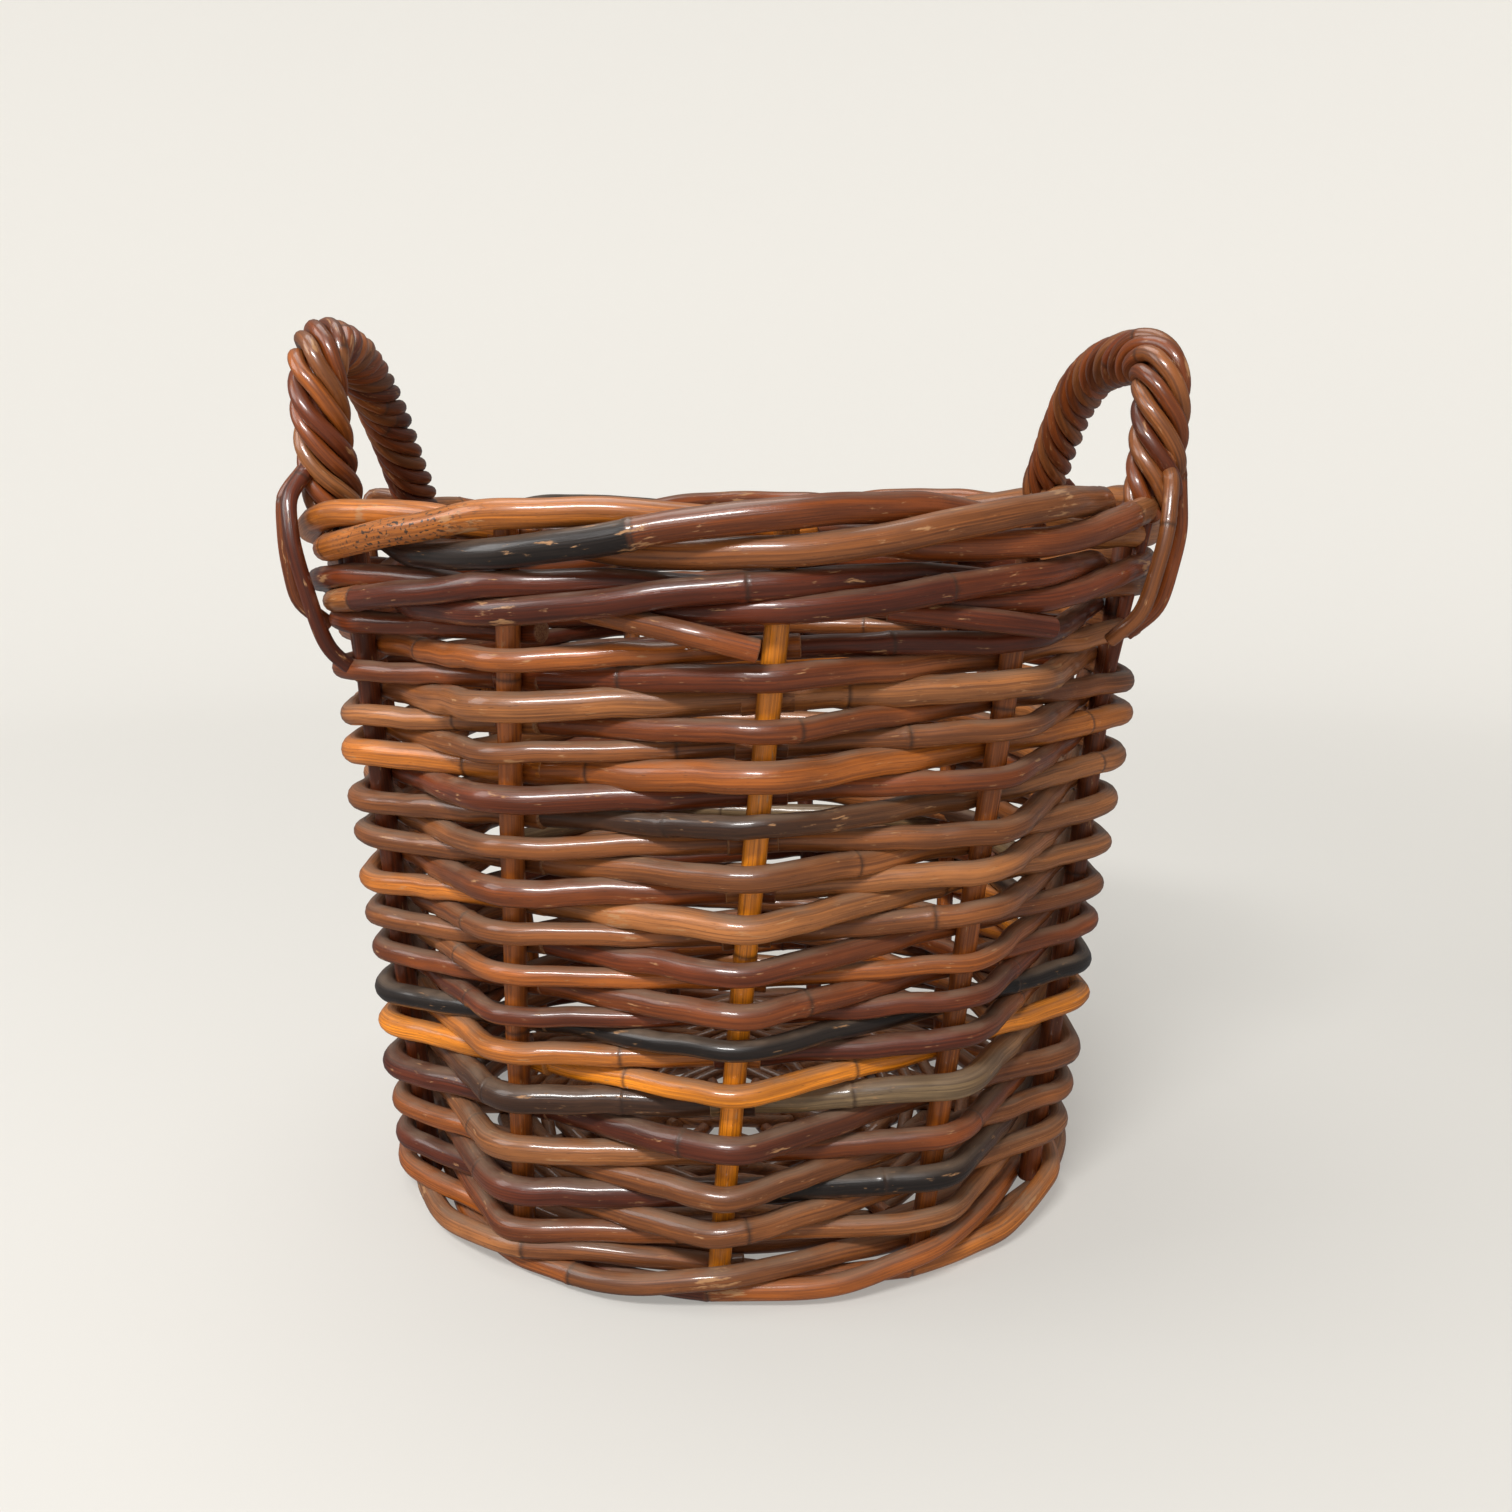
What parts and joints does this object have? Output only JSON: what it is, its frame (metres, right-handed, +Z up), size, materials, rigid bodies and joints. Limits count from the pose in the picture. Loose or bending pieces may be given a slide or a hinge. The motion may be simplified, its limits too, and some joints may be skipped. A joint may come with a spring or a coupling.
{
  "type": "wicker log basket",
  "caption": "Round, slightly tapered log basket of varnished whole cane on upright stakes, with waled rim and foot and two roped side handles.",
  "frame": {"origin": "on the floor, under the middle of the basket", "axes": "+Z up; -Y is the front; the handles stand at the left (-X) and right (+X)"},
  "size_m": [0.4292, 0.4272, 0.4349],
  "materials": {
    "stake_cane": "gloss",
    "weaver_cane": "gloss",
    "wale_cane": "gloss",
    "border_cane": "gloss",
    "foot_cane": "gloss",
    "base_cane": "gloss",
    "handle_cane": "gloss"
  },
  "bodies": {
    "root": {"base_binding": "base_cane", "base_hoop": "base_cane", "base_pierced_sticks": "base_cane", "base_threaded_sticks": "base_cane", "base_weavers": "base_cane", "border_1": "border_cane", "border_2": "border_cane", "border_3": "border_cane", "foot_wale_1": "foot_cane", "foot_wale_2": "foot_cane", "foot_wale_3": "foot_cane", "left_handle_core": "handle_cane", "left_handle_strands": "handle_cane", "left_handle_ties": "handle_cane", "right_handle_core": "handle_cane", "right_handle_strands": "handle_cane", "right_handle_ties": "handle_cane", "stake_01": "stake_cane", "stake_02": "stake_cane", "stake_03": "stake_cane", "stake_04": "stake_cane", "stake_05": "stake_cane", "stake_06": "stake_cane", "stake_07": "stake_cane", "stake_08": "stake_cane", "stake_09": "stake_cane", "stake_10": "stake_cane", "stake_11": "stake_cane", "upper_wale_1": "wale_cane", "upper_wale_2": "wale_cane", "upper_wale_3": "wale_cane", "wale_tail_ends": "wale_cane", "weaver_01": "weaver_cane", "weaver_02": "weaver_cane", "weaver_03": "weaver_cane", "weaver_04": "weaver_cane", "weaver_05": "weaver_cane", "weaver_06": "weaver_cane", "weaver_07": "weaver_cane", "weaver_08": "weaver_cane", "weaver_09": "weaver_cane", "weaver_10": "weaver_cane", "weaver_11": "weaver_cane", "weaver_12": "weaver_cane", "weaver_13": "weaver_cane", "weaver_14": "weaver_cane", "weaver_15": "weaver_cane", "weaver_16": "weaver_cane", "weaver_17": "weaver_cane", "weaver_18": "weaver_cane", "weaver_19": "weaver_cane", "weaver_20": "weaver_cane", "weaver_21": "weaver_cane", "weaver_22": "weaver_cane", "weaver_23": "weaver_cane", "weaver_24": "weaver_cane", "weaver_25": "weaver_cane", "weaver_26": "weaver_cane", "weaver_27": "weaver_cane"}
  },
  "joints": []
}
